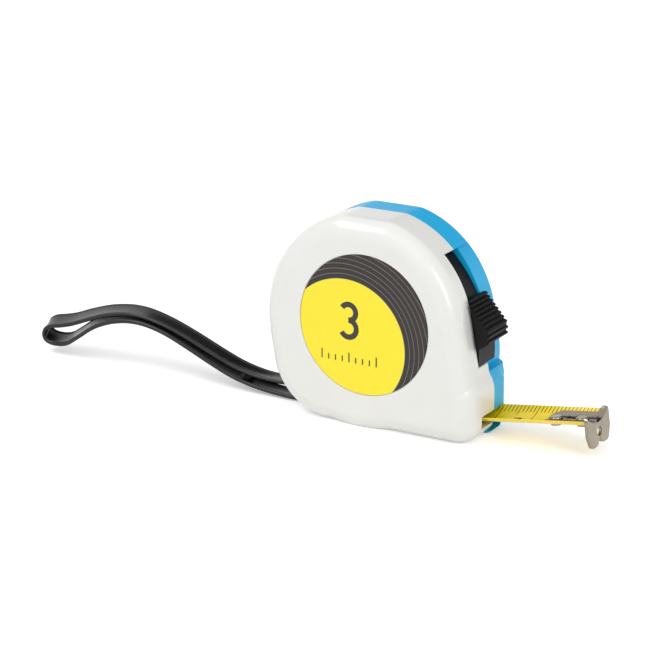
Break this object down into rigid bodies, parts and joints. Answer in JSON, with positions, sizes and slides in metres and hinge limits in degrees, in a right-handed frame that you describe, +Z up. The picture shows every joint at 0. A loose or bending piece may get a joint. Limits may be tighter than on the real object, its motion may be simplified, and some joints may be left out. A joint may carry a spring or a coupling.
{
  "type": "tape measure",
  "caption": "Pocket tape measure with a rounded two-shell case, cambered steel blade with a sliding end hook, ribbed thumb lock and a flat wrist strap.",
  "frame": {"origin": "on the bottom face, under the spool axis, in the parting plane of the two shells", "axes": "+X the way the blade comes out, -Y the white face with the label, +Z up"},
  "size_m": [0.1714, 0.0235, 0.0552],
  "materials": {
    "white_shell": "glossy warm white ABS, fine moulded surface",
    "blue_shell": "satin sky blue ABS",
    "label_print": null,
    "screw_steel": "zinc-plated steel",
    "post_steel": "drawn steel wire",
    "washer_nylon": "natural nylon",
    "spool_plastic": "black acetal",
    "clip_steel": "bent spring steel",
    "blade_paint": "spring steel strip, yellow enamel with black printed ticks and digits",
    "spring_steel": "blued spring steel",
    "hook_nickel": "nickel-plated pressed steel",
    "lock_black": "black moulded acetal, ribbed pad",
    "shoe_rubber": "moulded rubber",
    "strap_pvc": "extruded soft black PVC strip",
    "button_black": "black snap"
  },
  "bodies": {
    "case": {"front_shell": "white_shell", "rear_shell": "blue_shell", "front_label": "label_print", "case_screws": "screw_steel", "centre_post": "post_steel", "front_washer": "washer_nylon", "rear_washer": "washer_nylon", "strap_pin": "post_steel"},
    "spool": {"spool_drum": "spool_plastic", "spool_cover": "spool_plastic", "tape_clip": "clip_steel", "tape_roll": "blade_paint", "mainspring": "spring_steel"},
    "blade": {"tape_blade": "blade_paint", "hook_rivets": "hook_nickel"},
    "hook": {"end_hook": "hook_nickel"},
    "lock": {"lock_slider": "lock_black", "brake_shoe": "shoe_rubber"},
    "strap": {"wrist_strap": "strap_pvc", "strap_button": "button_black"}
  },
  "joints": [
    {"name": "spool_spin", "type": "hinge", "parent": "case", "child": "spool", "pos_m": [0, 0, 0.0281], "axis": [0, -1, 0], "range_deg": [-78.2, 8508]},
    {"name": "blade_slide", "type": "slide", "parent": "case", "child": "blade", "axis": [0.9903, 0, 0.1392], "range_m": [-0.0273, 2.97], "deforming": ["tape_blade"]},
    {"name": "hook_float", "type": "slide", "parent": "blade", "child": "hook", "axis": [0.9903, 0, 0.1392], "range_m": [0, 0.0008]},
    {"name": "lock_slide", "type": "hinge", "parent": "case", "child": "lock", "pos_m": [-0.01125, 0, 0.02195], "axis": [0, -1, 0], "range_deg": [0, 11.5]},
    {"name": "strap_swing", "type": "hinge", "parent": "case", "child": "strap", "pos_m": [-0.0185, 0, 0.0029], "axis": [0, 1, 0], "range_deg": [0, 20]}
  ],
  "couplings": [
    {"joint": "blade_slide", "follows": "spool_spin", "m_per_rad": 0.02}
  ]
}
